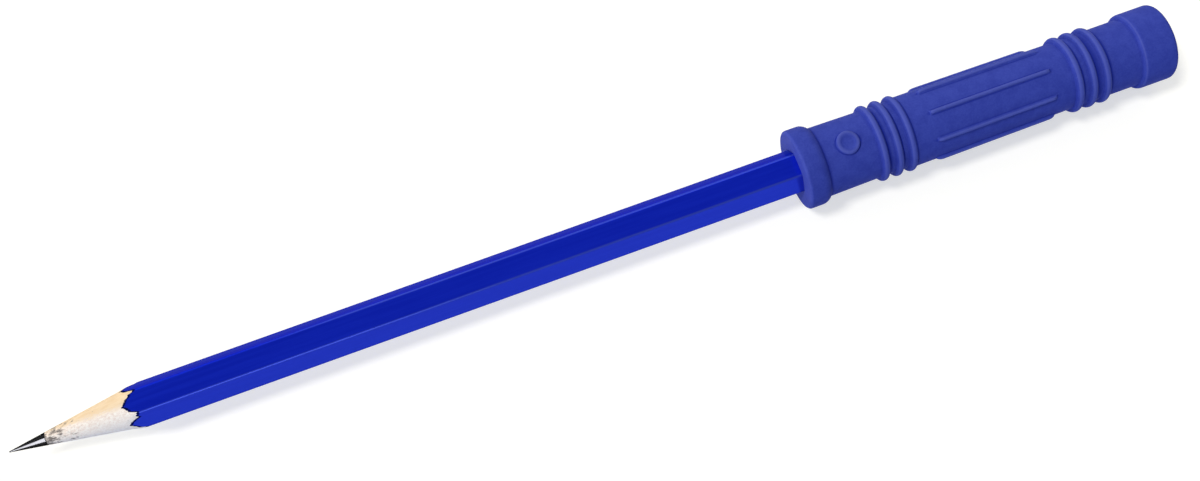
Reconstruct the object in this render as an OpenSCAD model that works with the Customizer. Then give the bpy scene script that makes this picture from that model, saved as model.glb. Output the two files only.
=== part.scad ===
// Chewable pencil topper on its pencil
//
// A soft moulded topper pushed over the flat end of a sharpened, lacquered hexagonal pencil.
// The pencil lies along X with its writing tip at -X, and the topper sits on the +X end.
// The origin is under the middle of the whole length, on the surface that the object lies on.

/* [Pencil] */
// Length of the sharpened pencil, from the writing tip to the flat end
pencil_length = 177; // [130:1:190]
// Width across two opposite flats, lacquer included
pencil_across_flats = 7.2; // [6.6:0.1:8]
// Radius of the six rounded long edges
pencil_edge_radius = 0.55; // [0.35:0.05:0.9]
// Thickness of the lacquer
lacquer_thickness = 0.12; // [0.08:0.01:0.2]
// Full angle of the sharpened cone
cone_angle = 18.4; // [16:0.1:26]
// Diameter of the lead
lead_diameter = 2.4; // [1.8:0.1:3]
// Radius of the worn writing tip
tip_radius = 0.12; // [0.06:0.01:0.3]

/* [Fit of the topper] */
// Depth of the pencil in the topper
seat_depth = 31; // [20:1:40]
// Radial clearance between the pencil's edges and the bore
bore_clearance = 0.05; // [0.02:0.01:0.1]
// Gap between the pencil's flat end and the bottom of the bore
bore_end_gap = 0.5; // [0.2:0.1:2]
// Width of the bevel round the mouth of the bore
bore_bevel = 0.3; // [0.15:0.05:0.6]

/* [Collar] */
// Diameter of the collar
collar_diameter = 14.9; // [13.6:0.1:17]
// Length of the collar, rounded shoulder included
collar_length = 4.4; // [3.5:0.05:7]
// Radius of the collar's front edge
collar_front_radius = 0.6; // [0.3:0.05:1.2]
// Length of the rounded shoulder behind the collar's crest
collar_shoulder_length = 1.75; // [1.2:0.05:2.2]

/* [Neck and tail] */
// Diameter of the plain neck just behind the collar
neck_front_diameter = 13; // [11.5:0.05:13.4]
// Diameter of the neck at the first ring
neck_rear_diameter = 12.65; // [11.5:0.05:13.4]
// Length from the collar to the crest of the first ring
neck_length = 10.5; // [8.5:0.1:14]
// Diameter of the plain tail in front of the cap
tail_diameter = 12.7; // [11.5:0.05:13.2]
// Length from the crest of the last ring to the cap
tail_length = 7.2; // [3:0.05:10]

/* [Rings] */
// Number of rings in each of the two groups
rings_per_group = 3; // [1:1:4]
// Diameter over the crests of the rings
ring_diameter = 14.35; // [13.6:0.05:16]
// Distance from one ring to the next
ring_pitch = 2.7; // [2.3:0.05:4]
// Radius of a ring's rounded bead
ring_bead_radius = 0.8; // [0.7:0.05:1.2]

/* [Grip] */
// Length between the two groups of rings, from crest to crest
grip_length = 32.7; // [28:0.1:45]
// Diameter of the grip at its front end
grip_front_diameter = 13.25; // [12:0.05:13.6]
// Diameter of the grip at its rear end
grip_rear_diameter = 12.65; // [12:0.05:13.4]
// Number of ridges round the grip
ridge_count = 8; // [4:1:12]
// Length of a ridge
ridge_length = 24.1; // [10:0.1:25]
// Width of a ridge
ridge_width = 1; // [0.8:0.05:1.6]
// Height of a ridge above the grip
ridge_height = 0.65; // [0.3:0.05:0.7]

/* [Cap] */
// Diameter of the cap
cap_diameter = 14.25; // [13.2:0.05:17]
// Length of the cap
cap_length = 6.8; // [4:0.1:14]
// Radius of the cap's front edge
cap_shoulder_radius = 0.75; // [0.3:0.05:1.2]
// Radius of the cap's rear edge
cap_end_radius = 1.2; // [0.4:0.05:2]

/* [Pad] */
// Diameter of the round raised pad on the neck
pad_diameter = 4.4; // [2.5:0.1:5]
// Height of the pad's rim above the neck
pad_height = 0.45; // [0.3:0.05:0.8]
// Radius of the pad's rounded rim
pad_rim_radius = 0.4; // [0.1:0.05:0.45]
// Depth of the shallow dish in the pad's top
pad_dish_depth = 0.12; // [0.05:0.01:0.2]
// Distance from the collar to the pad's centre
pad_setback = 4.8; // [3:0.05:6]

/* [Hidden] */
$fn = 96;

// Room that a cutting shape runs past what it cuts
cut_margin = 1;

// Distance from a hexagon's centre to the centres of its rounded edges
function edge_center(across_flats, edge_radius) = (across_flats / 2 - edge_radius) / cos(30);

// Pencil section, with and without its lacquer
pencil_corner_radius = edge_center(pencil_across_flats, pencil_edge_radius) + pencil_edge_radius;
wood_across_flats = pencil_across_flats - 2 * lacquer_thickness;
wood_edge_radius = pencil_edge_radius - lacquer_thickness;

// Stations along the topper, measured from its front face
collar_crest_end = collar_length - collar_shoulder_length;
group_length = (rings_per_group - 1) * ring_pitch;
front_group = collar_length + neck_length;
rear_group = front_group + group_length + grip_length;
cap_front = rear_group + group_length + tail_length;
topper_length = cap_front + cap_length;
grip_front = front_group + group_length;
grip_middle = grip_front + grip_length / 2;
pad_station = collar_length + pad_setback;

// Places in the frame
total_length = pencil_length - seat_depth + topper_length;
axis_height = max(collar_diameter, ring_diameter, cap_diameter) / 2;
tip_x = -total_length / 2;
pencil_end_x = tip_x + pencil_length;
topper_x = pencil_end_x - seat_depth;

// Sharpened cone, measured from the point where its sides would meet
half_angle = cone_angle / 2;
tip_center = tip_radius / sin(half_angle);
tip_tangent = tip_center * pow(cos(half_angle), 2);
apex_x = tip_x + tip_radius - tip_center;
cone_end = (pencil_corner_radius + cut_margin) / tan(half_angle);

// Bore of the topper
bore_radius = pencil_corner_radius + bore_clearance;
bore_depth = seat_depth + bore_end_gap;

// Radius of the tapering neck under the pad
neck_taper = (neck_front_diameter - neck_rear_diameter) / 2 / neck_length;
neck_radius_at_pad = neck_front_diameter / 2 - neck_taper * pad_setback;

// Arc of the collar's shoulder, from its length and its drop to the neck
shoulder_drop = (collar_diameter - neck_front_diameter) / 2;
shoulder_radius = (pow(collar_shoulder_length, 2) + pow(shoulder_drop, 2)) / (2 * shoulder_drop);

// Slope of the grip, which the ridges follow
grip_slope = atan((grip_rear_diameter - grip_front_diameter) / 2 / grip_length);
grip_middle_radius = (grip_front_diameter + grip_rear_diameter) / 4;

// Sphere that hollows the pad's top
dish_radius = pad_diameter / 2 - pad_rim_radius;
dish_sphere_radius = (pow(dish_radius, 2) + pow(pad_dish_depth, 2)) / (2 * pad_dish_depth);

// Colours
lacquer_blue = [0.03, 0.08, 0.62];
topper_blue = [0.20, 0.24, 0.65];
wood_cream = [0.86, 0.72, 0.56];
graphite_grey = [0.14, 0.14, 0.15];

// Puts a shape that stands on Z on the pencil's axis, with Z along X and its base at x
module on_axis(x) {
    translate([x, 0, axis_height])
        rotate([0, 90, 0])
            children();
}

// Hexagon with rounded corners, whose flats face up and down once it is on the axis
module rounded_hexagon(across_flats, edge_radius) {
    center_radius = edge_center(across_flats, edge_radius);
    for (side = [0 : 5]) {
        rotate(60 * side + 90)
            translate([center_radius, 0])
                circle(edge_radius);
    }
    for (side = [0 : 2]) {
        rotate(60 * side)
            square([across_flats, center_radius], center = true);
    }
}

// Bar of that section along the whole pencil
module hexagonal_bar(across_flats, edge_radius) {
    on_axis(tip_x)
        linear_extrude(pencil_length)
            rounded_hexagon(across_flats, edge_radius);
}

// Everything that the sharpener leaves: a cone that ends in a round bar wider than the pencil
module sharpened_space() {
    on_axis(apex_x)
        rotate_extrude()
            polygon([
                [0, tip_tangent],
                [tip_tangent * tan(half_angle), tip_tangent],
                [cone_end * tan(half_angle), cone_end],
                [cone_end * tan(half_angle), cone_end + pencil_length],
                [0, cone_end + pencil_length]
            ]);
}

// Half of the wooden case: side is 1 for the upper slat and -1 for the lower one
module slat(side) {
    block_height = pencil_across_flats;
    color(wood_cream)
        intersection() {
            difference() {
                hexagonal_bar(wood_across_flats, wood_edge_radius);
                on_axis(tip_x - cut_margin)
                    cylinder(h = pencil_length + 2 * cut_margin, d = lead_diameter);
            }
            translate([tip_x, -pencil_across_flats, axis_height + (side - 1) / 2 * block_height])
                cube([pencil_length, 2 * pencil_across_flats, block_height]);
            sharpened_space();
        }
}

module upper_slat() {
    slat(1);
}

module lower_slat() {
    slat(-1);
}

// Round core with a conical point and a rounded tip
module lead() {
    lead_radius = lead_diameter / 2;
    color(graphite_grey)
        on_axis(apex_x)
            rotate_extrude() {
                intersection() {
                    translate([0, tip_center])
                        circle(tip_radius);
                    square([tip_radius, tip_center + tip_radius]);
                }
                polygon([
                    [0, tip_tangent],
                    [tip_tangent * tan(half_angle), tip_tangent],
                    [lead_radius, lead_radius / tan(half_angle)],
                    [lead_radius, pencil_end_x - apex_x],
                    [0, pencil_end_x - apex_x]
                ]);
            }
}

// Thin coat round the wood, cut back in scallops by the cone
module lacquer() {
    color(lacquer_blue)
        intersection() {
            difference() {
                hexagonal_bar(pencil_across_flats, pencil_edge_radius);
                hexagonal_bar(wood_across_flats, wood_edge_radius);
            }
            sharpened_space();
        }
}

// Half section of the collar
module collar_profile() {
    radius = collar_diameter / 2;
    square([radius - collar_front_radius, collar_crest_end]);
    translate([0, collar_front_radius])
        square([radius, collar_crest_end - collar_front_radius]);
    translate([radius - collar_front_radius, collar_front_radius])
        circle(collar_front_radius);
    intersection() {
        translate([radius - shoulder_radius, collar_crest_end])
            circle(shoulder_radius);
        translate([0, collar_crest_end])
            square([radius, collar_shoulder_length]);
    }
}

// Half section of the cap
module cap_profile() {
    radius = cap_diameter / 2;
    translate([0, cap_front])
        square([radius - max(cap_shoulder_radius, cap_end_radius), cap_length]);
    translate([0, cap_front + cap_shoulder_radius])
        square([radius, cap_length - cap_shoulder_radius - cap_end_radius]);
    translate([radius - cap_shoulder_radius, cap_front + cap_shoulder_radius])
        circle(cap_shoulder_radius);
    translate([radius - cap_end_radius, topper_length - cap_end_radius])
        circle(cap_end_radius);
}

// Half sections of one group of rings, whose first crest is at a station
module ring_group_profile(station) {
    for (ring = [0 : rings_per_group - 1]) {
        translate([ring_diameter / 2 - ring_bead_radius, station + ring * ring_pitch])
            circle(ring_bead_radius);
    }
}

// Half section of the whole topper, without its bore: radius along x, station along y
module topper_profile() {
    collar_profile();
    square([neck_front_diameter / 2, collar_length]);
    polygon([
        [0, collar_length],
        [neck_front_diameter / 2, collar_length],
        [neck_rear_diameter / 2, front_group],
        [neck_rear_diameter / 2, grip_front],
        [0, grip_front]
    ]);
    polygon([
        [0, grip_front],
        [grip_front_diameter / 2, grip_front],
        [grip_rear_diameter / 2, rear_group],
        [0, rear_group]
    ]);
    translate([0, rear_group])
        square([tail_diameter / 2, topper_length - rear_group - cap_end_radius]);
    ring_group_profile(front_group);
    ring_group_profile(rear_group);
    cap_profile();
}

// Round-backed ridges with rounded ends, laid along the grip
module ridges() {
    half_run = (ridge_length - ridge_width) / 2;
    for (ridge = [0 : ridge_count - 1]) {
        translate([topper_x + grip_middle, 0, axis_height])
            rotate([360 / ridge_count * ridge, 0, 0])
                translate([0, 0, grip_middle_radius + ridge_height - ridge_width / 2])
                    rotate([0, 90 - grip_slope, 0]) {
                        cylinder(h = 2 * half_run, d = ridge_width, center = true);
                        for (end = [-1, 1]) {
                            translate([0, 0, end * half_run])
                                sphere(d = ridge_width);
                        }
                    }
    }
}

// Round pad with a rounded rim and a dished top, standing up from the neck
module pad() {
    top = neck_radius_at_pad + pad_height;
    translate([topper_x + pad_station, 0, axis_height])
        difference() {
            rotate_extrude() {
                square([pad_diameter / 2, top - pad_rim_radius]);
                square([pad_diameter / 2 - pad_rim_radius, top]);
                translate([pad_diameter / 2 - pad_rim_radius, top - pad_rim_radius])
                    circle(pad_rim_radius);
            }
            translate([0, 0, top - pad_dish_depth + dish_sphere_radius])
                sphere(dish_sphere_radius);
        }
}

// Blind bore with a bevelled mouth
module bore() {
    on_axis(topper_x - cut_margin)
        cylinder(h = bore_depth + cut_margin, r = bore_radius);
    on_axis(topper_x - cut_margin)
        cylinder(h = bore_bevel + cut_margin, r1 = bore_radius + bore_bevel + cut_margin, r2 = bore_radius);
}

// Soft moulding in one piece
module topper() {
    color(topper_blue)
        difference() {
            union() {
                on_axis(topper_x)
                    rotate_extrude()
                        topper_profile();
                ridges();
                pad();
            }
            bore();
        }
}

upper_slat();
lower_slat();
lead();
lacquer();
topper();
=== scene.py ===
"""Looks of a chewable pencil topper on its pencil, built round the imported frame.

The pencil lies along X: the front is towards its writing tip at -X, the rear towards the topper at +X.
The near side is the camera's, -Y, and the far side is +Y. Lengths are in metres, and MM turns millimetres
into metres. Stations along the topper are measured from its front face.
"""

import math

import bmesh
import bpy
import numpy as np
from mathutils import Matrix, Vector


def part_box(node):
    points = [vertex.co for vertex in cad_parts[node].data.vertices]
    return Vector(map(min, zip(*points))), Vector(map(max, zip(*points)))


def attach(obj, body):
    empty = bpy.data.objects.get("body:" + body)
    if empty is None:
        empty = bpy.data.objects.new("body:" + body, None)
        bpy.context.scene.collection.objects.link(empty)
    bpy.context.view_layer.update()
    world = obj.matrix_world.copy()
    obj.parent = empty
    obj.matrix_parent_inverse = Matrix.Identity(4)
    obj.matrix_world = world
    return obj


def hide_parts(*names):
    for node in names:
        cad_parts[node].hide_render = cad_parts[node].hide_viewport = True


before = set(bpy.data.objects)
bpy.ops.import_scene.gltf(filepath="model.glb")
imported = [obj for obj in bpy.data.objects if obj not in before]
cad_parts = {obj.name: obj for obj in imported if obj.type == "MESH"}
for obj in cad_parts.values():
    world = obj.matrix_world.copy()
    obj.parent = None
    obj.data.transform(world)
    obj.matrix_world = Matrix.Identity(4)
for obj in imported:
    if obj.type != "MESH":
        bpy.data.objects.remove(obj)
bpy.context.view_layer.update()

MM = 0.001
HALF_TURN = math.pi
FULL_TURN = 2 * math.pi

# Sizes and places that the frame gives
lead_low, lead_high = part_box("lead")
topper_low, topper_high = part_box("topper")
AXIS_Z = (lead_low.z + lead_high.z) / 2
TIP_X = lead_low.x
PENCIL_END_X = lead_high.x
LEAD_RADIUS = (lead_high.z - lead_low.z) / 2
BARREL_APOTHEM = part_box("lacquer")[1].z - AXIS_Z
WOOD_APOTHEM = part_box("upper_slat")[1].z - AXIS_Z
TOPPER_X = topper_low.x
TOPPER_LENGTH = topper_high.x - topper_low.x
COLLAR_RADIUS = topper_high.y

# Pencil
SIDES = 6
SIDE_ANGLE = math.radians(60)
HALF_SIDE_ANGLE = math.radians(30)
BARREL_EDGE_RADIUS = 0.55 * MM
WOOD_EDGE_RADIUS = BARREL_EDGE_RADIUS - (BARREL_APOTHEM - WOOD_APOTHEM)
CONE_HALF_ANGLE = math.radians(9.2)
FLARE_RADIUS = 3.42 * MM
FLARE_ANGLE = math.radians(13)
TIP_RADIUS = 0.12 * MM
APEX_X = TIP_X + TIP_RADIUS - TIP_RADIUS / math.sin(CONE_HALF_ANGLE)

# Topper, by station
BORE_RADIUS = 4.12 * MM
BORE_DEPTH = 31.5 * MM
BORE_LIP_RADIUS = 0.3 * MM
BORE_GAP = 0.03 * MM
BORE_END_RADIUS = 0.5 * MM
COLLAR_LENGTH = 4.4 * MM
COLLAR_CREST_END = 2.65 * MM
COLLAR_FRONT_RADIUS = 0.6 * MM
FRONT_FACE_RADIUS = COLLAR_RADIUS - COLLAR_FRONT_RADIUS
NECK_FRONT_RADIUS = 6.5 * MM
NECK_REAR_RADIUS = 6.325 * MM
TAIL_RADIUS = 6.35 * MM
RING_RADIUS = 7.175 * MM
RING_BEAD_RADIUS = 0.68 * MM
RING_FRONT_ANGLE = math.radians(70)
RING_REAR_ANGLE = math.radians(66)
RING_PITCH = 2.7 * MM
RINGS_PER_GROUP = 3
FRONT_GROUP = 14.9 * MM
GRIP_LENGTH = 32.7 * MM
GRIP_FRONT = FRONT_GROUP + (RINGS_PER_GROUP - 1) * RING_PITCH
REAR_GROUP = GRIP_FRONT + GRIP_LENGTH
GRIP_MIDDLE = (GRIP_FRONT + REAR_GROUP) / 2
GRIP_FRONT_RADIUS = 6.625 * MM
GRIP_REAR_RADIUS = 6.325 * MM
RIDGE_COUNT = 8
RIDGE_SPACING = FULL_TURN / RIDGE_COUNT
RIDGE_LENGTH = 23.5 * MM
RIDGE_WIDTH = 0.85 * MM
RIDGE_HEIGHT = 0.65 * MM
RIDGE_RAMP = 1.3 * MM
RIDGE_SINK = 0.1 * MM
CAP_FRONT = 65.45 * MM
CAP_RADIUS = 7.125 * MM
CAP_SHOULDER_LENGTH = 0.9 * MM
CAP_SHOULDER_HEIGHT = 0.8 * MM
CAP_END_RADIUS = 0.85 * MM
END_FACE_RADIUS = CAP_RADIUS - CAP_END_RADIUS
PAD_STATION = 9.2 * MM
PAD_RADIUS = 2.2 * MM
PAD_HEIGHT = 0.45 * MM
PAD_RIM_RADIUS = 0.45 * MM
PAD_DISH_RADIUS = 0.95 * MM
PAD_DISH_SLOPE = 0.6 * MM
PAD_DISH_DEPTH = 0.12 * MM

# Cosine of the widest angle from the top at which a point can lie on the pad
PAD_FACING = 0.5

# Widths of the moulded fillets
RING_FILLET = 0.28 * MM
COLLAR_FILLET = 0.12 * MM
CAP_FILLET = 0.3 * MM
RIDGE_FILLET = 0.2 * MM
PAD_FILLET = 0.22 * MM

# How steeply the cap, ridges and pad fall away below the surface that they stand on
CAP_FALL = math.tan(math.radians(70))
RIDGE_FALL = math.tan(math.radians(65))
PAD_FALL = math.tan(math.radians(70))

# Camera, as the photograph was taken
CAMERA_AZIMUTH = math.radians(-20.3)
CAMERA_ELEVATION = math.radians(75.34)
CAMERA_DISTANCE = 267.24 * MM
CAMERA_TARGET = Vector((-0.8 * MM, 0.02 * MM, AXIS_Z))
CAMERA_LENS = 44.93
CAMERA_SENSOR = 36
CAMERA_CLIP_START = 10 * MM


def add_object(name, data):
    """A new object in the scene."""
    made = bpy.data.objects.new(name, data)
    bpy.context.scene.collection.objects.link(made)
    return made


def turn_back_to(made, direction):
    """Turns a camera or lamp so that its back points in that direction."""
    made.rotation_mode = "QUATERNION"
    made.rotation_quaternion = direction.to_track_quat("Z", "Y")


def make_camera():
    back = Vector((
        math.sin(CAMERA_AZIMUTH) * math.cos(CAMERA_ELEVATION),
        -math.cos(CAMERA_AZIMUTH) * math.cos(CAMERA_ELEVATION),
        math.sin(CAMERA_ELEVATION),
    ))
    data = bpy.data.cameras.new("camera")
    data.lens = CAMERA_LENS
    data.sensor_width = CAMERA_SENSOR
    data.clip_start = CAMERA_CLIP_START
    camera = add_object("camera", data)
    camera.location = CAMERA_TARGET + back * CAMERA_DISTANCE
    turn_back_to(camera, back)
    bpy.context.scene.camera = camera


# Key light
KEY_DIRECTION = Vector((-0.42, 0.1, 0.9))
KEY_SPREAD = math.radians(12)
KEY_STRENGTH = 1.65

# Strip lamp that only reflections see, aimed at the writing tip
WINDOW_LEAN = math.radians(35)
WINDOW_TILT = math.radians(-22)
WINDOW_DISTANCE = 1
WINDOW_LENGTH = 1.1
WINDOW_WIDTH = 0.14
WINDOW_POWER = 22

# World: levels of its skyline, walls and ceiling, and the heights where one passes into the next, as the
# upward share of a direction
SKYLINE_LEVEL = 1.0
WALL_LEVEL = 0.75
CEILING_LEVEL = 0.2
SKYLINE_TOP = 0.12
WALL_START = 0.3
WALL_TOP = 0.6
CEILING_START = 0.9

# How much brighter the walls get towards the far side and the front, and the tints of the two sides
WALL_LEAN_FAR = 0.45
WALL_LEAN_FRONT = 0.6
NEAR_TINT = (0.8, 0.93, 1.16, 1)
FAR_TINT = (1.08, 1.02, 0.92, 1)
TINT_REACH = 0.7
WHITE = (1, 1, 1, 1)

# Panels that only reflections see. An extent is a middle, a half size and a soft edge: along X as a share
# of the direction, and in tilt as degrees from straight up towards +Y
NEAR_STRIP = {"level": 3, "along": (-0.17, 0.1, 0.08), "tilt": (-46, 10, 6)}
FAR_STRIP = {"level": 1.5, "along": (0.2, 0.08, 0.08), "tilt": (35, 8, 6)}

# Floor: its colour for the view and reflections, its colour for the light that it throws back, and the glow
# that lifts the first to white
FLOOR_SEEN = (0.57, 0.555, 0.495, 1)
FLOOR_BOUNCE = (0.52, 0.59, 0.8, 1)
FLOOR_LIFT = 0.575
FLOOR_HALF_SIDE = 3


def make_key_light():
    """Broad soft light from above, in front of the object and a little on its far side."""
    data = bpy.data.lights.new("key", "SUN")
    data.energy = KEY_STRENGTH
    data.angle = KEY_SPREAD
    key = add_object("key", data)
    turn_back_to(key, KEY_DIRECTION)
    key.visible_glossy = False


def make_window():
    """Long strip lamp over the writing tip, leaning to the front: it draws the streak along the lead."""
    across = Vector((0, math.cos(WINDOW_TILT), -math.sin(WINDOW_TILT)))
    upward = Vector((0, math.sin(WINDOW_TILT), math.cos(WINDOW_TILT)))
    away = upward * math.cos(WINDOW_LEAN) - Vector((math.sin(WINDOW_LEAN), 0, 0))
    data = bpy.data.lights.new("window", "AREA")
    data.shape = "RECTANGLE"
    data.size = WINDOW_LENGTH
    data.size_y = WINDOW_WIDTH
    data.energy = WINDOW_POWER
    window = add_object("window", data)
    window.location = Vector((TIP_X, 0, AXIS_Z)) + away * WINDOW_DISTANCE
    window.rotation_mode = "QUATERNION"
    window.rotation_quaternion = Matrix((across, away.cross(across), away)).transposed().to_quaternion()
    window.visible_camera = False
    window.visible_diffuse = False


def link(tree, source, target):
    tree.links.new(source, target)


def add_node(tree, kind, **settings):
    node = tree.nodes.new(kind)
    for name, value in settings.items():
        setattr(node, name, value)
    return node


def put(tree, target, value):
    """Links an output to an input, or sets the input to a plain value."""
    if isinstance(value, bpy.types.NodeSocket):
        link(tree, value, target)
    else:
        target.default_value = value


def math_node(tree, operation, *values):
    node = add_node(tree, "ShaderNodeMath", operation=operation)
    for target, value in zip(node.inputs, values):
        put(tree, target, value)
    return node.outputs[0]


def ramp(tree, value, span, results=(0, 1)):
    """Maps a span of values smoothly to the two results, which hold beyond its ends."""
    node = add_node(tree, "ShaderNodeMapRange", interpolation_type="SMOOTHSTEP")
    put(tree, node.inputs["Value"], value)
    for name, number in zip(("From Min", "From Max", "To Min", "To Max"), (*span, *results)):
        node.inputs[name].default_value = number
    return node.outputs["Result"]


def mix(tree, factor, first, second):
    node = add_node(tree, "ShaderNodeMix", data_type="RGBA")
    put(tree, node.inputs["Factor"], factor)
    put(tree, node.inputs["A"], first)
    put(tree, node.inputs["B"], second)
    return node.outputs["Result"]


def split(tree, vector):
    """The X, Y and Z of a vector."""
    node = add_node(tree, "ShaderNodeSeparateXYZ")
    link(tree, vector, node.inputs[0])
    return node.outputs


def within(tree, value, middle, half_size, edge):
    """1 within half_size of the middle, fading to 0 over the edge."""
    away = math_node(tree, "ABSOLUTE", math_node(tree, "SUBTRACT", value, middle))
    return ramp(tree, away, (half_size + edge, half_size))


def panel_level(tree, along, tilt, panel):
    """Level that a panel gives to each direction."""
    inside_along = within(tree, along, *panel["along"])
    inside_tilt = within(tree, tilt, *[math.radians(degrees) for degrees in panel["tilt"]])
    share = math_node(tree, "MULTIPLY", inside_along, inside_tilt)
    return math_node(tree, "MULTIPLY", share, panel["level"])


def make_world():
    """Uneven walls, a dim ceiling and panels for the gloss, with plain white for the camera's own view."""
    world = bpy.data.worlds.new("studio")
    bpy.context.scene.world = world
    world.use_nodes = True
    tree = world.node_tree
    background = tree.nodes["Background"]
    along, sideways, up = split(tree, add_node(tree, "ShaderNodeTexCoord").outputs["Generated"])
    walls = ramp(tree, up, (SKYLINE_TOP, WALL_START), (SKYLINE_LEVEL, WALL_LEVEL))
    walls = math_node(tree, "MULTIPLY", walls, ramp(tree, up, (WALL_TOP, CEILING_START), (1, 0)))
    lean = math_node(tree, "MULTIPLY_ADD", sideways, WALL_LEAN_FAR, 1)
    lean = math_node(tree, "ADD", lean, math_node(tree, "MULTIPLY", along, -WALL_LEAN_FRONT))
    ceiling = ramp(tree, up, (WALL_TOP, CEILING_START), (0, CEILING_LEVEL))
    level = math_node(tree, "ADD", math_node(tree, "MULTIPLY", walls, lean), ceiling)
    rays = add_node(tree, "ShaderNodeLightPath").outputs
    reflected = rays["Is Glossy Ray"]
    tilt = math_node(tree, "ARCTAN2", sideways, up)
    for panel in (NEAR_STRIP, FAR_STRIP):
        shown = math_node(tree, "MULTIPLY", panel_level(tree, along, tilt, panel), reflected)
        level = math_node(tree, "ADD", level, shown)
    seen = math_node(tree, "MAXIMUM", rays["Is Camera Ray"], rays["Is Transmission Ray"])
    unseen = math_node(tree, "SUBTRACT", 1, seen)
    level = math_node(tree, "ADD", math_node(tree, "MULTIPLY", level, unseen), seen)
    link(tree, level, background.inputs["Strength"])
    tint = mix(tree, ramp(tree, sideways, (-TINT_REACH, TINT_REACH)), NEAR_TINT, FAR_TINT)
    untinted = math_node(tree, "MAXIMUM", reflected, seen)
    link(tree, mix(tree, untinted, tint, WHITE), background.inputs["Color"])


def floor_material():
    """Matt off-white that the view and reflections see as white, with the shadow kept."""
    material = bpy.data.materials.new("floor")
    material.use_nodes = True
    tree = material.node_tree
    tree.nodes.remove(tree.nodes["Principled BSDF"])
    rays = add_node(tree, "ShaderNodeLightPath").outputs
    seen = math_node(tree, "MAXIMUM", rays["Is Camera Ray"], rays["Is Glossy Ray"])
    seen = math_node(tree, "MAXIMUM", seen, rays["Is Transmission Ray"])
    diffuse = add_node(tree, "ShaderNodeBsdfDiffuse")
    link(tree, mix(tree, seen, FLOOR_BOUNCE, FLOOR_SEEN), diffuse.inputs["Color"])
    lift = add_node(tree, "ShaderNodeEmission")
    link(tree, math_node(tree, "MULTIPLY", seen, FLOOR_LIFT), lift.inputs["Strength"])
    total = add_node(tree, "ShaderNodeAddShader")
    link(tree, diffuse.outputs[0], total.inputs[0])
    link(tree, lift.outputs[0], total.inputs[1])
    link(tree, total.outputs[0], tree.nodes["Material Output"].inputs["Surface"])
    return material


def make_floor():
    half = FLOOR_HALF_SIDE
    corners = [(-half, -half, 0), (half, -half, 0), (half, half, 0), (-half, half, 0)]
    mesh = bpy.data.meshes.new("floor")
    mesh.from_pydata(corners, [], [(0, 1, 2, 3)])
    mesh.materials.append(floor_material())
    floor = add_object("floor", mesh)


# Meshes

# Edges that turn by more than this stay sharp, and points closer than this are one
SHARP_ANGLE = math.radians(30)
JOIN_DISTANCE = 0.0005 * MM


def soft_max(first, second, fillet):
    """Larger of two heights, with a fillet of about that width where they cross."""
    closeness = np.clip(1 - np.abs(first - second) / fillet, 0, 1)
    return np.maximum(first, second) + closeness ** 2 * fillet / 4


def spread(positions, density):
    """Places along the positions, as close together as one over the density."""
    steps = (density[1:] + density[:-1]) / 2 * np.diff(positions)
    total = np.concatenate([[0], np.cumsum(steps)])
    count = int(round(total[-1]))
    return np.interp(np.linspace(0, total[-1], count + 1), total, positions)


def arc(center_x, center_r, radius, start_degrees, end_degrees, segments):
    """Points (x, r) along an arc, with 0 degrees along +x and 90 degrees away from the axis."""
    angles = np.radians(np.linspace(start_degrees, end_degrees, segments + 1))
    return [(center_x + radius * math.cos(angle), center_r + radius * math.sin(angle)) for angle in angles]


def line(start, end, segments):
    """Points (x, r) from start to end, without the end itself."""
    shares = np.arange(segments) / segments
    length, rise = end[0] - start[0], end[1] - start[1]
    return [(start[0] + length * share, start[1] + rise * share) for share in shares]


def wrapped_faces(rows, columns):
    """Quads of a grid of points whose columns close on themselves."""
    row, column = np.meshgrid(np.arange(rows - 1), np.arange(columns), indexing="ij")
    following = (column + 1) % columns
    quads = [
        row * columns + column,
        (row + 1) * columns + column,
        (row + 1) * columns + following,
        row * columns + following,
    ]
    return np.stack(quads, axis=-1).reshape(-1, 4).tolist()


def closed_faces(rows, columns):
    """Quads of such a grid, and a face across its first row and its last."""
    first_face = list(range(columns))
    last_face = list(range((rows - 1) * columns, rows * columns))[::-1]
    return wrapped_faces(rows, columns) + [first_face, last_face]


def around_axis(xs, radii, angles):
    """Points at those radii and angles round the pencil's axis, angles from +Z towards +Y."""
    y = radii * np.sin(angles)
    z = AXIS_Z + radii * np.cos(angles)
    return np.stack(np.broadcast_arrays(xs, y, z), axis=-1).reshape(-1, 3)


def within_half_turn(angles):
    """The same angles, between minus and plus half a turn."""
    return (angles + HALF_TURN) % FULL_TURN - HALF_TURN


def new_piece(name, points, faces, material):
    """A smooth-shaded mesh in the scene."""
    mesh = bpy.data.meshes.new(name)
    mesh.from_pydata([tuple(point) for point in points], [], faces)
    mesh.polygons.foreach_set("use_smooth", [True] * len(mesh.polygons))
    mesh.materials.append(material)
    return add_object(name, mesh)


def keep_sharp_edges(piece):
    piece.data.set_sharp_from_angle(angle=SHARP_ANGLE)


def join_doubles(piece):
    """Joins points that lie on each other and turns all faces outwards."""
    edit = bmesh.new()
    edit.from_mesh(piece.data)
    bmesh.ops.remove_doubles(edit, verts=edit.verts, dist=JOIN_DISTANCE)
    bmesh.ops.recalc_face_normals(edit, faces=edit.faces)
    edit.to_mesh(piece.data)
    edit.free()


def set_shade(piece, name, values):
    """Gives each point a number that the piece's material reads by that name."""
    attribute = piece.data.attributes.new(name, "FLOAT", "POINT")
    attribute.data.foreach_set("value", values.astype(np.float32).ravel())


def corner_distance(apothem, edge_radius):
    """How far from the axis a hexagon's rounded corners have their centers."""
    return (apothem - edge_radius) / math.cos(HALF_SIDE_ANGLE)


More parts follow.
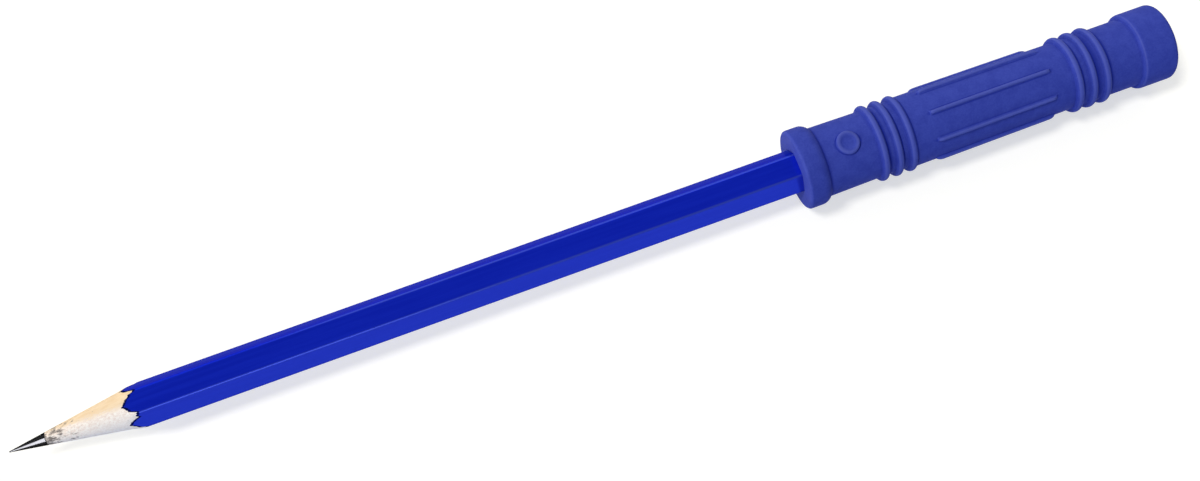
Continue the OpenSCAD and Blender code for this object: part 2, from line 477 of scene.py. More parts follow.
def hexagon_radius(angles, apothem, edge_radius):
    """Radius of a hexagon with rounded corners at angles from the middle of its top flat."""
    from_flat = np.abs(angles - SIDE_ANGLE * np.round(angles / SIDE_ANGLE))
    center = corner_distance(apothem, edge_radius)
    from_corner = HALF_SIDE_ANGLE - from_flat
    across = center * np.sin(from_corner)
    corner = center * np.cos(from_corner) + np.sqrt(np.clip(edge_radius ** 2 - across ** 2, 0, None))
    on_flat = from_flat < math.atan2(center / 2, apothem)
    return np.where(on_flat, apothem / np.cos(from_flat), corner)


# Topper

def base_radius(station):
    """Radius of the tapering neck and grip and of the tail, without what stands up from them."""
    neck_share = np.clip((station - COLLAR_LENGTH) / (FRONT_GROUP - COLLAR_LENGTH), 0, 1)
    neck = NECK_FRONT_RADIUS + (NECK_REAR_RADIUS - NECK_FRONT_RADIUS) * neck_share
    grip_share = (station - GRIP_FRONT) / GRIP_LENGTH
    grip = GRIP_FRONT_RADIUS + (GRIP_REAR_RADIUS - GRIP_FRONT_RADIUS) * grip_share
    rear = np.where(station < REAR_GROUP, grip, TAIL_RADIUS)
    return np.where(station < GRIP_FRONT, neck, rear)


def collar_radius(station):
    """Straight crest, then a rounded shoulder that goes on at its last slope."""
    length = COLLAR_LENGTH - COLLAR_CREST_END
    drop = COLLAR_RADIUS - NECK_FRONT_RADIUS
    radius = (length ** 2 + drop ** 2) / (2 * drop)
    along = np.clip(station - COLLAR_CREST_END, 0, length)
    end_slope = length / math.sqrt(radius ** 2 - length ** 2)
    beyond = np.clip(station - COLLAR_LENGTH, 0, None)
    return COLLAR_RADIUS - radius + np.sqrt(radius ** 2 - along ** 2) - beyond * end_slope


def ring_radius(station, crest):
    """Rounded bead with straight flanks, the front one steeper."""
    away = np.abs(station - crest)
    flank = np.where(station < crest, RING_FRONT_ANGLE, RING_REAR_ANGLE)
    round_part = np.minimum(away, RING_BEAD_RADIUS * np.sin(flank))
    height = np.sqrt(RING_BEAD_RADIUS ** 2 - round_part ** 2)
    return RING_RADIUS - RING_BEAD_RADIUS + height - (away - round_part) * np.tan(flank)


def cap_radius(station):
    """Rounded shoulder that rises to the cap's straight side."""
    share = np.clip(1 - (station - CAP_FRONT) / CAP_SHOULDER_LENGTH, 0, 1)
    before = np.clip(CAP_FRONT - station, 0, None)
    start = CAP_RADIUS - CAP_SHOULDER_HEIGHT
    return start + CAP_SHOULDER_HEIGHT * np.sqrt(1 - share ** 2) - before * CAP_FALL


def from_nearest_ridge(angle):
    """Angle from the middle of the nearest ridge."""
    return angle - RIDGE_SPACING * np.round(angle / RIDGE_SPACING)


def inside_ridge_end(station):
    """How far each station lies inside the ends of the ridges, less than 0 beyond them."""
    return RIDGE_LENGTH / 2 - np.abs(station - GRIP_MIDDLE)


def ridge_radius(station, angle):
    """Round-backed ridges along the grip, which ramp up from its surface at both ends."""
    half_width = RIDGE_WIDTH / 2
    from_end = inside_ridge_end(station)
    ramp_share = np.clip(from_end / RIDGE_RAMP, 0, 1)
    lift = RIDGE_HEIGHT * np.sqrt(1 - (1 - ramp_share) ** 2)
    surface = base_radius(station)
    across = np.abs(surface * np.sin(from_nearest_ridge(angle))) / half_width
    round_back = np.sqrt(np.clip(1 - across ** 2, 0, None))
    beyond = np.clip(across - 1, 0, None) * half_width
    before = np.clip(-from_end, 0, None)
    drop = (beyond + before) * RIDGE_FALL
    return surface - RIDGE_SINK + (lift + RIDGE_SINK) * round_back - drop


def pad_radius(station, angle):
    """Round pad on the neck: a rounded rim round a shallow dish."""
    top = base_radius(PAD_STATION) + PAD_HEIGHT
    facing = np.cos(angle) > PAD_FACING
    across = np.where(facing, top * np.sin(angle), COLLAR_RADIUS)
    away = np.hypot(station - PAD_STATION, across)
    into_rim = np.clip(away - (PAD_RADIUS - PAD_RIM_RADIUS), 0, PAD_RIM_RADIUS)
    rim_drop = PAD_RIM_RADIUS - np.sqrt(PAD_RIM_RADIUS ** 2 - into_rim ** 2)
    slope_share = np.clip((away - PAD_DISH_RADIUS) / PAD_DISH_SLOPE, 0, 1)
    dish = PAD_DISH_DEPTH * (1 + np.cos(HALF_TURN * slope_share)) / 2
    beyond = np.clip(away - PAD_RADIUS, 0, None) * PAD_FALL
    height = top - rim_drop - dish - beyond
    return np.where(facing, height / np.maximum(np.cos(angle), PAD_FACING), 0)


def revolved_radius(station):
    """Outer radius of the topper without its ridges and pad."""
    radius = soft_max(base_radius(station), collar_radius(station), COLLAR_FILLET)
    radius = soft_max(radius, cap_radius(station), CAP_FILLET)
    for group in (FRONT_GROUP, REAR_GROUP):
        for ring in range(RINGS_PER_GROUP):
            radius = soft_max(radius, ring_radius(station, group + ring * RING_PITCH), RING_FILLET)
    return radius


def outer_radius(station, angle):
    """Outer radius of the topper between its rounded front and rear edges."""
    radius = soft_max(revolved_radius(station), ridge_radius(station, angle), RIDGE_FILLET)
    return soft_max(radius, pad_radius(station, angle), PAD_FILLET)


# Fineness of the topper's mesh: steps of its rows and columns on plain stretches and where they get closer
STATION_SAMPLES = 8000
ROW_STEP = 1.2 * MM
ROW_TURN = math.radians(10)
PAD_ROW_STEP = 0.13 * MM
RIDGE_END_ROW_STEP = 0.14 * MM
ANGLE_SAMPLES = 20000
COLUMN_STEP = 0.36 * MM
PAD_COLUMN_STEP = 0.12 * MM
RIDGE_COLUMN_STEP = 0.075 * MM
RIDGE_COLUMN_REACH = RIDGE_WIDTH * 0.62

# Segments of the topper's bore, front face, rounded edges and end, and the faces in their middles
BORE_BOTTOM_SEGMENTS = 5
BORE_END_SEGMENTS = 5
BORE_WALL_SEGMENTS = 24
BORE_LIP_SEGMENTS = 6
FRONT_FACE_SEGMENTS = 8
COLLAR_EDGE_SEGMENTS = 12
CAP_EDGE_SEGMENTS = 14
END_FACE_SEGMENTS = 8
MIDDLE_FACE_RADIUS = 1 * MM


def outer_stations():
    """Rows along the topper, closer together where its outline turns or something stands up."""
    fine = np.linspace(COLLAR_FRONT_RADIUS, TOPPER_LENGTH - CAP_END_RADIUS, STATION_SAMPLES)
    slope = np.arctan(np.gradient(revolved_radius(fine), fine))
    turning = np.abs(np.gradient(slope, fine))
    on_pad = np.abs(fine - PAD_STATION) < PAD_RADIUS + PAD_FILLET
    from_end = inside_ridge_end(fine)
    on_ridge_end = (from_end > -RIDGE_FILLET) & (from_end < RIDGE_RAMP)
    density = 1 / ROW_STEP + turning / ROW_TURN
    density += on_pad / PAD_ROW_STEP
    density += on_ridge_end / RIDGE_END_ROW_STEP
    return spread(fine, density)


def topper_angles():
    """Columns round the topper, closer together across the ridges and the pad."""
    fine = np.linspace(-HALF_TURN, HALF_TURN, ANGLE_SAMPLES)
    on_ridge = np.abs(from_nearest_ridge(fine)) * GRIP_FRONT_RADIUS < RIDGE_COLUMN_REACH
    on_pad = np.abs(fine) * NECK_FRONT_RADIUS < PAD_RADIUS + PAD_FILLET
    step = np.full_like(fine, COLUMN_STEP)
    step[on_pad] = PAD_COLUMN_STEP
    step[on_ridge] = RIDGE_COLUMN_STEP
    return spread(fine, GRIP_FRONT_RADIUS / step)[:-1]


def bore_rows():
    """Rows (station, radius) out of the bore, round its lip and up the front face and its edge."""
    wall_end = BORE_DEPTH - BORE_END_RADIUS
    bottom_radius = BORE_RADIUS - BORE_END_RADIUS
    lip_radius = BORE_RADIUS + BORE_LIP_RADIUS
    rows = line((BORE_DEPTH, MIDDLE_FACE_RADIUS), (BORE_DEPTH, bottom_radius), BORE_BOTTOM_SEGMENTS)
    rows += arc(wall_end, bottom_radius, BORE_END_RADIUS, 0, 90, BORE_END_SEGMENTS)[:-1]
    rows += line((wall_end, BORE_RADIUS), (BORE_LIP_RADIUS, BORE_RADIUS), BORE_WALL_SEGMENTS)
    rows += arc(BORE_LIP_RADIUS, lip_radius, BORE_LIP_RADIUS, 270, 180, BORE_LIP_SEGMENTS)[:-1]
    rows += line((0, lip_radius), (0, FRONT_FACE_RADIUS), FRONT_FACE_SEGMENTS)
    edge = arc(COLLAR_FRONT_RADIUS, FRONT_FACE_RADIUS, COLLAR_FRONT_RADIUS, 180, 90, COLLAR_EDGE_SEGMENTS)
    return np.array(rows + edge[:-1])


def end_rows():
    """Rows (station, radius) round the cap's rear edge and down its end."""
    edge_start = TOPPER_LENGTH - CAP_END_RADIUS
    end_edge = (TOPPER_LENGTH, END_FACE_RADIUS)
    rows = arc(edge_start, END_FACE_RADIUS, CAP_END_RADIUS, 90, 0, CAP_EDGE_SEGMENTS)[1:]
    rows += line(end_edge, (TOPPER_LENGTH, MIDDLE_FACE_RADIUS), END_FACE_SEGMENTS)[1:]
    return np.array(rows)


# Painted highlights on the topper's crests, raised parts and front face, and painted shade in its creases:
# how far apart heights are compared, the difference that counts as full, and shares of it
CREST_REACH = 0.5 * MM
CREST_HEIGHT = 0.16 * MM
CREASE_REACH = 0.28 * MM
PAINTED_SHADE_DEPTH = 0.45 * MM
FRONT_PAINTED_SHADE_SHARE = 0.35
RAISED_PAINTED_HIGHLIGHT = 0.42
FACE_PAINTED_HIGHLIGHT = 0.65


def neighbour_heights(stations, angles, reach):
    """Outer radii in front of and behind each point, and their mean on both sides round the axis."""
    turn = reach / GRIP_FRONT_RADIUS
    front = outer_radius(stations - reach, angles)
    rear = outer_radius(stations + reach, angles)
    beside = (outer_radius(stations, angles + turn) + outer_radius(stations, angles - turn)) / 2
    return front, rear, beside


def standing_height(stations, angles):
    """How far the ridges and the pad stand up from the rest."""
    return outer_radius(stations, angles) - revolved_radius(stations)


def painted_light_at(stations, angles):
    """Painted light of each outer point: highlight up to 1 on crests and raised parts, shade down to -1 in
    creases round them.
    """
    here = outer_radius(stations, angles)
    front, rear, beside = neighbour_heights(stations, angles, CREST_REACH)
    crest = ((here - (front + rear) / 2) / 2 + (here - beside) / 4) / CREST_HEIGHT
    standing = standing_height(stations, angles)
    painted_pale = np.clip(crest, 0, 1) + RAISED_PAINTED_HIGHLIGHT * np.clip(standing / PAD_HEIGHT, 0, 1)
    front, rear, beside = neighbour_heights(stations, angles, CREASE_REACH)
    # Painted shade: deepest where the outline just in front stands higher, as behind the collar and rings,
    # weaker in front of them
    painted_shade = np.maximum(np.maximum(front, beside) - here, FRONT_PAINTED_SHADE_SHARE * (rear - here))
    before_standing = standing_height(stations + CREASE_REACH, angles) - standing
    painted_shade = np.maximum(painted_shade, before_standing) / PAINTED_SHADE_DEPTH
    return np.clip(painted_pale - np.clip(painted_shade, 0, 1), -1, 1)


def face_painted_light(rows):
    """Painted light of the bore and the front face: a painted highlight on the front face, as on a crest.
    """
    toward_crest = (rows[:, 0] / COLLAR_FRONT_RADIUS) ** 2
    return np.where(rows[:, 1] > BORE_RADIUS, FACE_PAINTED_HIGHLIGHT * (1 - toward_crest), 0)


def pressed_to_pencil(radii, angles):
    """Radii of the bore and front face where the soft bore lies against the pencil's flats."""
    pressed = hexagon_radius(angles, BARREL_APOTHEM + BORE_GAP, BARREL_EDGE_RADIUS + BORE_GAP)
    inside = radii * pressed / BORE_RADIUS
    face_share = (FRONT_FACE_RADIUS - pressed) / (FRONT_FACE_RADIUS - BORE_RADIUS)
    face = pressed + (radii - BORE_RADIUS) * face_share
    return np.where(radii <= BORE_RADIUS, inside, np.where(radii < FRONT_FACE_RADIUS, face, radii))


def make_topper(material):
    """One closed skin: up the bore, round its lip, over the outside and across the end."""
    bore = bore_rows()
    stations = outer_stations()
    end = end_rows()
    angles = topper_angles()
    xs = TOPPER_X + np.concatenate([bore[:, 0], stations, end[:, 0]])
    radii = np.concatenate([
        pressed_to_pencil(bore[:, 1:], angles),
        outer_radius(stations[:, None], angles),
        np.repeat(end[:, 1:], len(angles), axis=1),
    ])
    points = around_axis(xs[:, None], radii, angles)
    piece = new_piece("topper_moulding", points, closed_faces(*radii.shape), material)
    # Painted highlights on the front face and crests and painted shade in creases, which the elastomer
    # reads
    painted_light = np.zeros_like(radii)
    painted_light[:len(bore)] = face_painted_light(bore)[:, None]
    painted_light[len(bore):-len(end)] = painted_light_at(stations[:, None], angles)
    set_shade(piece, "painted_light", painted_light)
    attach(piece, "topper")
    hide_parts("topper")


# Pencil

# Segments of a hexagon along half a flat and round half a corner
LACQUER_SEGMENTS = (13, 5)
WOOD_SEGMENTS = (8, 4)

# Rows along the lacquer, as shares of its length: its torn edge, some close behind that, and the rest
LACQUER_ROWS = np.concatenate([[0, 0.0004], [0.005, 0.01, 0.015], np.linspace(0.02, 1, 45)])

# Rows of a slat along its cone and its barrel, and how far it reaches each way round from its middle: a
# quarter turn, and a hair more to take in the points on its edge
CONE_ROWS = 40
BARREL_ROWS = 12
SLAT_REACH = HALF_TURN / 2 + 1e-6

# Mesh of the lead: where its tip's arc starts in degrees, segments along it and columns round it
TIP_START = 170
TIP_SEGMENTS = 8
LEAD_CONE_SEGMENTS = 24
LEAD_CORE_SEGMENTS = 30
LEAD_END_SEGMENTS = 4
LEAD_END_RADIUS = 0.1 * MM
LEAD_COLUMNS = 96


def hexagon_section(apothem, edge_radius, flat_segments, corner_segments):
    """Radii and angles round a hexagon with rounded corners, from the middle of its top flat on."""
    half_flat = corner_distance(apothem, edge_radius) / 2
    half_side = [(across, apothem) for across in np.linspace(0, half_flat, flat_segments + 1)]
    for turn in np.linspace(0, HALF_SIDE_ANGLE, corner_segments + 1)[1:]:
        across = half_flat + edge_radius * math.sin(turn)
        height = apothem - edge_radius + edge_radius * math.cos(turn)
        half_side.append((across, height))
    radii = [math.hypot(across, height) for across, height in half_side]
    angles = [math.atan2(across, height) for across, height in half_side]
    side_radii = radii + radii[-2:0:-1]
    side_angles = angles + [SIDE_ANGLE - angle for angle in angles[-2:0:-1]]
    all_angles = [np.array(side_angles) + SIDE_ANGLE * side for side in range(SIDES)]
    return np.tile(side_radii, SIDES), np.concatenate(all_angles)


def cone_x(radius):
    """Where the sharpened cone has that radius: it opens wider where the blade ended."""
    cone = np.minimum(radius, FLARE_RADIUS) / math.tan(CONE_HALF_ANGLE)
    flare = np.maximum(radius - FLARE_RADIUS, 0) / math.tan(FLARE_ANGLE)
    return APEX_X + cone + flare


# How far the sharpener broke the lacquer back from its cut, and places where it broke more away:
# angle from +Z towards +Y and half width, in degrees, and depth
LACQUER_RECESS = 0.4 * MM
CHIPS = (
    (30, 8, 0.5 * MM),
    (13, 12, 0.45 * MM),
    (-46, 14, 1.3 * MM),
    (84, 9, 0.7 * MM),
    (128, 10, 0.9 * MM),
    (166, 8, 0.5 * MM),
    (197, 12, 0.8 * MM),
    (241, 7, 0.6 * MM),
)

# Waves that make the torn edge ragged: height, number round the pencil, and shift in radians
RAGGED_WAVES = (
    (0.14 * MM, 23, 0),
    (0.1 * MM, 41, 1),
    (0.06 * MM, 67, 2),
)

# Share of painted highlight and reflection on the side flats, where the edges have 1 and the top and bottom
# flats 0
SIDE_PAINTED_HIGHLIGHT = 0.45

# On the far side, a flat's painted highlight begins and is full at these angles from the top or bottom, and
# the painted highlight of the edges above and below begins and is full at these distances from the tip
FAR_HIGHLIGHT_START = math.radians(48)
FAR_HIGHLIGHT_FULL = math.radians(62)
FAR_EDGE_START = 40 * MM
FAR_EDGE_FULL = 66 * MM


def chipped_back(angles):
    """How far the lacquer's front edge is broken back from the cone at each angle."""
    depth = np.zeros_like(angles)
    for middle, half_width, deep in CHIPS:
        away = np.abs(within_half_turn(angles - math.radians(middle)))
        depth = np.maximum(depth, deep * np.clip(1 - away / math.radians(half_width), 0, 1))
    ragged = sum(height * np.sin(angles * count + shift) for height, count, shift in RAGGED_WAVES)
    return LACQUER_RECESS + depth + ragged


def lacquer_painted_highlight(xs, radii, angles):
    """Painted highlight and reflection on the coat at each point: most on its edges, less on its side
    flats.
    """
    half_flat = corner_distance(BARREL_APOTHEM, BARREL_EDGE_RADIUS) / 2
    flat_end = math.hypot(half_flat, BARREL_APOTHEM)
    edge = np.clip((radii - flat_end) / (radii.max() - flat_end), 0, 1)
    lean = np.abs(np.sin(angles))
    near_flat = np.where(lean > math.sin(HALF_SIDE_ANGLE), SIDE_PAINTED_HIGHLIGHT, 0)
    start, full = math.sin(FAR_HIGHLIGHT_START), math.sin(FAR_HIGHLIGHT_FULL)
    far_flat = SIDE_PAINTED_HIGHLIGHT * np.clip((lean - start) / (full - start), 0, 1)
    along = np.clip((xs - TIP_X - FAR_EDGE_START) / (FAR_EDGE_FULL - FAR_EDGE_START), 0, 1)
    far_edge = np.where(lean < full, edge * along, edge)
    return np.where(np.sin(angles) > 0, np.maximum(far_edge, far_flat), np.maximum(edge, near_flat))


def make_lacquer(material):
    """Thin coat with an inside and an outside, cut back by the sharpener in front."""
    outer, angles = hexagon_section(BARREL_APOTHEM, BARREL_EDGE_RADIUS, *LACQUER_SEGMENTS)
    inner, inner_angles = hexagon_section(WOOD_APOTHEM, WOOD_EDGE_RADIUS, *LACQUER_SEGMENTS)
    outer_front = cone_x(outer) + chipped_back(angles)
    inner_front = cone_x(inner) + chipped_back(angles)
    shares = LACQUER_ROWS[:, None]
    outer_x = outer_front + (PENCIL_END_X - outer_front) * shares
    inner_x = inner_front + (PENCIL_END_X - inner_front) * shares[::-1]
    outside = around_axis(outer_x, outer, angles)
    inside = around_axis(inner_x, inner, inner_angles)
    points = np.concatenate([outside, inside])
    xs = np.concatenate([outer_x, inner_x])
    rows, columns = xs.shape
    faces = np.array(wrapped_faces(rows + 1, columns)) % len(points)
    piece = new_piece("lacquer_coat", points, faces.tolist(), material)
    keep_sharp_edges(piece)
    # Painted highlight and reflection on the edges and side flats
    set_shade(piece, "painted_highlight", lacquer_painted_highlight(xs, outer, angles))
    cut = np.zeros_like(xs)
    cut[[0, -1]] = 1
    set_shade(piece, "cut", cut)
    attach(piece, "pencil")
    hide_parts("lacquer")


def make_slat(node, middle, material):
    """Half of the wooden case: middle is the angle of its flat's middle, from +Z."""
    radii, angles = hexagon_section(WOOD_APOTHEM, WOOD_EDGE_RADIUS, *WOOD_SEGMENTS)
    from_middle = within_half_turn(angles - middle)
    order = np.argsort(from_middle)
    kept = order[np.abs(from_middle[order]) <= SLAT_REACH]
    radii, angles = radii[kept], from_middle[kept] + middle
    cone_radii = LEAD_RADIUS + (radii - LEAD_RADIUS) * np.linspace(0, 1, CONE_ROWS)[:, None]
    barrel_shares = np.linspace(0, 1, BARREL_ROWS)[1:, None]
    barrel_front = cone_x(radii)
    barrel_x = barrel_front + (PENCIL_END_X - barrel_front) * barrel_shares
    outer_x = np.concatenate([cone_x(cone_radii), barrel_x])
    outer_radii = np.concatenate([cone_radii, np.broadcast_to(radii, barrel_x.shape)])
    groove_radii = np.full_like(outer_radii, LEAD_RADIUS)
    points = around_axis(
        np.concatenate([outer_x, outer_x[:, ::-1]], axis=1),
        np.concatenate([outer_radii, groove_radii], axis=1),
        np.concatenate([angles, angles[::-1]]),
    )
    rows, half = outer_x.shape
    columns = 2 * half
    faces = wrapped_faces(rows, columns)
    last = (rows - 1) * columns
    for column in range(half - 1):
        mirrored = columns - 1 - column
        faces.append((last + column, last + column + 1, last + mirrored - 1, last + mirrored))
    piece = new_piece(node + "_wood", points, faces, material)
    join_doubles(piece)
    keep_sharp_edges(piece)
    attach(piece, "pencil")
    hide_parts(node)


def make_lead(material):
    """Round core with its conical point, worn round at the tip."""
    tip_end = 90 + math.degrees(CONE_HALF_ANGLE)
    cone_end = (cone_x(LEAD_RADIUS), LEAD_RADIUS)
    end_edge = (PENCIL_END_X, LEAD_RADIUS)
    profile = arc(TIP_X + TIP_RADIUS, 0, TIP_RADIUS, TIP_START, tip_end, TIP_SEGMENTS)
    profile += line(profile[-1], cone_end, LEAD_CONE_SEGMENTS)[1:]
    profile += line(cone_end, end_edge, LEAD_CORE_SEGMENTS)
    profile += line(end_edge, (PENCIL_END_X, LEAD_END_RADIUS), LEAD_END_SEGMENTS)
    profile = np.array(profile)
    angles = np.linspace(-HALF_TURN, HALF_TURN, LEAD_COLUMNS + 1)[:-1]
    points = around_axis(profile[:, :1], profile[:, 1:], angles)
    piece = new_piece("lead_core", points, closed_faces(len(profile), LEAD_COLUMNS), material)
    keep_sharp_edges(piece)
    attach(piece, "pencil")
    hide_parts("lead")


# Materials

# Spans of a noise's values: nearly all of them, the middle ones and the most common ones
WIDE_NOISE = (0.2, 0.8)
MIDDLE_NOISE = (0.3, 0.7)
COMMON_NOISE = (0.35, 0.65)

# Elastomer: colours, spans of mottling and of the painted highlights and painted shade, and finish
ELASTOMER_DEEP = (0.029, 0.046, 0.318, 1)
ELASTOMER_LIGHT = (0.04, 0.061, 0.368, 1)
# Colours of the painted highlight on crests and raised parts and of the painted shade in creases
ELASTOMER_PAINTED_HIGHLIGHT = (0.088, 0.112, 0.41, 1)
ELASTOMER_PAINTED_SHADE = (0.01, 0.021, 0.26, 1)
MOTTLE_SPAN = (0.7, 1.3)
PAINTED_HIGHLIGHT_SPAN = (0.25, 0.95)
PAINTED_HIGHLIGHT_SHARE = (0, 0.5)
PAINTED_SHADE_SPAN = (-0.1, -0.9)
ELASTOMER_ROUGHNESS = (0.6, 0.75)
ELASTOMER_SPECULAR = 0.06
ELASTOMER_GRAIN_DEPTH = 0.018 * MM

# Lacquer: colours, stretch of its streaks and waves, and finish
LACQUER_DEEP = (0.006, 0.02, 0.54, 1)
LACQUER_LIGHT = (0.008, 0.025, 0.58, 1)
# Paler blue of the painted highlight and reflection on the edges and side flats
LACQUER_PAINTED_HIGHLIGHT = (0.045, 0.075, 0.5, 1)
LACQUER_CUT = (0.002, 0.005, 0.07, 1)
STREAK_STRETCH = (0.06, 1.6, 1.6)
WAVE_STRETCH = (0.12, 0.5, 0.5)
LACQUER_HIGHLIGHT_SHARE = (0, 0.8)
LACQUER_ROUGHNESS = (0.12, 0.2)
CUT_ROUGHNESS = 0.7
LACQUER_METALLIC = 0.45
LACQUER_SPECULAR = 0.003
LACQUER_SPECULAR_TINT = (0.08, 0.15, 0.28, 1)
WAVE_DEPTH = 0.02 * MM

# Wood: colours, stretch of its grain, pores and dust, and finish
# Warm far side and paler near side are painted light: the tone that the light gives each side
WARM_DEEP = (0.8, 0.59, 0.35, 1)
WARM_LIGHT = (0.86, 0.68, 0.46, 1)
PALE_DEEP = (0.84, 0.7, 0.6, 1)
PALE_LIGHT = (1.0, 0.93, 0.84, 1)
# Palest tone, painted light on the lowest part of the near side
NEAR_PAINTED_LIGHT = (1.0, 0.94, 0.86, 1)
DUST_COLOUR = (0.2, 0.17, 0.15, 1)
GRAIN_STRETCH = (0.12, 2.2, 2.2)
PORE_STRETCH = (0.7, 1, 1)
DUST_STRETCH = (0.5, 1, 1)
WOOD_ROUGHNESS = 0.62
WOOD_SPECULAR = 0.1
WOOD_GRAIN_DEPTH = 0.03 * MM

# Painted light on the wood, in millimetres across the pencil turned from +Y by this angle: where the warm
# far side turns to the paler near side and that to its palest, and how far noise frays these lines
PALE_TURN = math.radians(-14.7)
PALE_SPAN = (3.75, 2.55)
NEAR_PAINTED_LIGHT_SPAN = (2.2, -0.3)
NEAR_PAINTED_LIGHT_SHARE = (0, 0.5)
PALE_FRAY = 2.2

# Graphite dust on the wood: millimetres behind the lead's edge where it begins and is full, what it adds to
# its noise there, and the span of noise that shows
DUST_BEGINS = 10
DUST_FULL = -1
DUST_ADDED = (0, 0.26)
DUST_SPAN = (0.64, 0.84)

# Graphite: colours, stretch of its marks, and finish
GRAPHITE_DEEP = (0.014, 0.014, 0.015, 1)
GRAPHITE_LIGHT = (0.024, 0.024, 0.026, 1)
MARK_STRETCH = (9, 0.7, 0.7)
GRAPHITE_ROUGHNESS = (0.06, 0.12)
GRAPHITE_SPECULAR_TINT = (0, 0, 0, 1)
MARK_DEPTH = 0.004 * MM


def new_material(name):
    """A material, its node tree and its main shader."""
    material = bpy.data.materials.new(name)
    material.use_nodes = True
    tree = material.node_tree
    return material, tree, tree.nodes["Principled BSDF"]


def place_in_mm(tree, stretch=(1, 1, 1)):
    """The surface's own place in millimetres, with each axis scaled."""
    place = add_node(tree, "ShaderNodeTexCoord").outputs["Object"]
    mapping = add_node(tree, "ShaderNodeMapping")
    link(tree, place, mapping.inputs["Vector"])
    mapping.inputs["Scale"].default_value = [factor / MM for factor in stretch]
    return mapping.outputs["Vector"]


def noise(tree, place, scale, detail, roughness):
    node = add_node(tree, "ShaderNodeTexNoise")
    link(tree, place, node.inputs["Vector"])
    node.inputs["Scale"].default_value = scale
    node.inputs["Detail"].default_value = detail
    node.inputs["Roughness"].default_value = roughness
    return node.outputs["Fac"]


def shade(tree, name):
    """The number that a piece's points carry by that name."""
    return add_node(tree, "ShaderNodeAttribute", attribute_name=name).outputs["Fac"]


def bump(tree, shader, height, depth):
    node = add_node(tree, "ShaderNodeBump")
    link(tree, height, node.inputs["Height"])
    node.inputs["Distance"].default_value = depth
    link(tree, node.outputs["Normal"], shader.inputs["Normal"])


def elastomer_material():
    """Matt blue moulded elastomer: fine grain, soft mottling, painted highlights on crests and painted
    shade in creases.
    """
    material, tree, shader = new_material("blue_elastomer")
    place = place_in_mm(tree)
    grain = noise(tree, place, scale=3, detail=3, roughness=0.65)
    clouds = noise(tree, place, scale=0.5, detail=3, roughness=0.6)
    mottle = ramp(tree, math_node(tree, "ADD", clouds, grain), MOTTLE_SPAN)
    colour = mix(tree, mottle, ELASTOMER_DEEP, ELASTOMER_LIGHT)
    # Painted highlights on crests and raised parts, painted shade in creases
    painted_light = shade(tree, "painted_light")
    colour = mix(tree, ramp(tree, painted_light, PAINTED_HIGHLIGHT_SPAN, PAINTED_HIGHLIGHT_SHARE), colour, ELASTOMER_PAINTED_HIGHLIGHT)
    colour = mix(tree, ramp(tree, painted_light, PAINTED_SHADE_SPAN), colour, ELASTOMER_PAINTED_SHADE)
    link(tree, colour, shader.inputs["Base Color"])
    link(tree, ramp(tree, grain, WIDE_NOISE, ELASTOMER_ROUGHNESS), shader.inputs["Roughness"])
    shader.inputs["Specular IOR Level"].default_value = ELASTOMER_SPECULAR
    bump(tree, shader, grain, ELASTOMER_GRAIN_DEPTH)
    return material


def lacquer_material():
    """Glossy blue lacquer: slow waves, faint streaks along the barrel, painted highlights on edges and side
    flats, a dark cut.
    """
    material, tree, shader = new_material("blue_lacquer")
    streaks = noise(tree, place_in_mm(tree, STREAK_STRETCH), scale=1, detail=3, roughness=0.6)
    colour = mix(tree, ramp(tree, streaks, MIDDLE_NOISE), LACQUER_DEEP, LACQUER_LIGHT)
    # Painted highlight and reflection: paler where the points carry more of it
    colour = mix(tree, ramp(tree, shade(tree, "painted_highlight"), (0, 1), LACQUER_HIGHLIGHT_SHARE), colour, LACQUER_PAINTED_HIGHLIGHT)
    cut = shade(tree, "cut")
    colour = mix(tree, cut, colour, LACQUER_CUT)
    link(tree, colour, shader.inputs["Base Color"])
    polish = ramp(tree, streaks, WIDE_NOISE, LACQUER_ROUGHNESS)
    torn = math_node(tree, "MULTIPLY", cut, CUT_ROUGHNESS)
    link(tree, math_node(tree, "ADD", polish, torn), shader.inputs["Roughness"])
    shader.inputs["Metallic"].default_value = LACQUER_METALLIC
    shader.inputs["Specular IOR Level"].default_value = LACQUER_SPECULAR
    shader.inputs["Specular Tint"].default_value = LACQUER_SPECULAR_TINT
    waves = noise(tree, place_in_mm(tree, WAVE_STRETCH), scale=1, detail=1, roughness=0.5)
    bump(tree, shader, waves, WAVE_DEPTH)
    return material


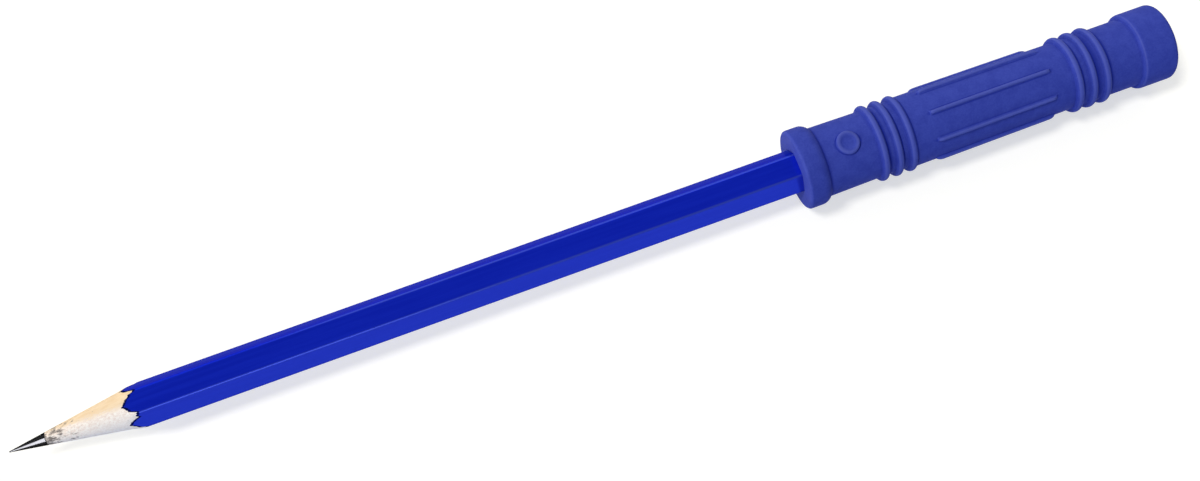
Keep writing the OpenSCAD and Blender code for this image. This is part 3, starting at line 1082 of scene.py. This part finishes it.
def wood_material():
    """Bare pencil wood: grain, pores, painted light warm on the far side and paler on the near one, dust
    near the lead.
    """
    material, tree, shader = new_material("bare_wood")
    x, y, z = split(tree, place_in_mm(tree))
    grain = noise(tree, place_in_mm(tree, GRAIN_STRETCH), scale=1, detail=4, roughness=0.65)
    pores = noise(tree, place_in_mm(tree, PORE_STRETCH), scale=3.2, detail=3, roughness=0.7)
    dust = noise(tree, place_in_mm(tree, DUST_STRETCH), scale=1.9, detail=4, roughness=0.7)
    texture = math_node(tree, "ADD", grain, pores)
    warm = mix(tree, ramp(tree, grain, MIDDLE_NOISE), WARM_DEEP, WARM_LIGHT)
    painted_pale = mix(tree, ramp(tree, pores, COMMON_NOISE), PALE_DEEP, PALE_LIGHT)
    across = math_node(tree, "MULTIPLY", y, math.cos(PALE_TURN))
    rise = math_node(tree, "MULTIPLY_ADD", z, -math.sin(PALE_TURN), AXIS_Z / MM * math.sin(PALE_TURN))
    fray = math_node(tree, "MULTIPLY", texture, PALE_FRAY)
    side = math_node(tree, "ADD", math_node(tree, "ADD", across, rise), fray)
    # Painted light: warm on the far side, paler and then palest towards the near side
    colour = mix(tree, ramp(tree, side, PALE_SPAN), warm, painted_pale)
    colour = mix(tree, ramp(tree, side, NEAR_PAINTED_LIGHT_SPAN, NEAR_PAINTED_LIGHT_SHARE), colour, NEAR_PAINTED_LIGHT)
    lead_edge = cone_x(LEAD_RADIUS) / MM
    near_lead = ramp(tree, x, (lead_edge + DUST_BEGINS, lead_edge + DUST_FULL), DUST_ADDED)
    specks = ramp(tree, math_node(tree, "ADD", dust, near_lead), DUST_SPAN)
    colour = mix(tree, specks, colour, DUST_COLOUR)
    link(tree, colour, shader.inputs["Base Color"])
    shader.inputs["Roughness"].default_value = WOOD_ROUGHNESS
    shader.inputs["Specular IOR Level"].default_value = WOOD_SPECULAR
    bump(tree, shader, texture, WOOD_GRAIN_DEPTH)
    return material


def graphite_material():
    """Burnished graphite with fine marks round it from the sharpener."""
    material, tree, shader = new_material("graphite")
    marks = noise(tree, place_in_mm(tree, MARK_STRETCH), scale=1, detail=3, roughness=0.6)
    link(tree, mix(tree, marks, GRAPHITE_DEEP, GRAPHITE_LIGHT), shader.inputs["Base Color"])
    link(tree, ramp(tree, marks, WIDE_NOISE, GRAPHITE_ROUGHNESS), shader.inputs["Roughness"])
    shader.inputs["Metallic"].default_value = 1
    shader.inputs["Specular Tint"].default_value = GRAPHITE_SPECULAR_TINT
    bump(tree, shader, marks, MARK_DEPTH)
    return material


make_camera()
make_key_light()
make_window()
make_world()
make_floor()
make_topper(elastomer_material())
make_lacquer(lacquer_material())
wood = wood_material()
make_slat("upper_slat", 0, wood)
make_slat("lower_slat", HALF_TURN, wood)
make_lead(graphite_material())

bpy.context.scene.view_settings.view_transform = "Standard"
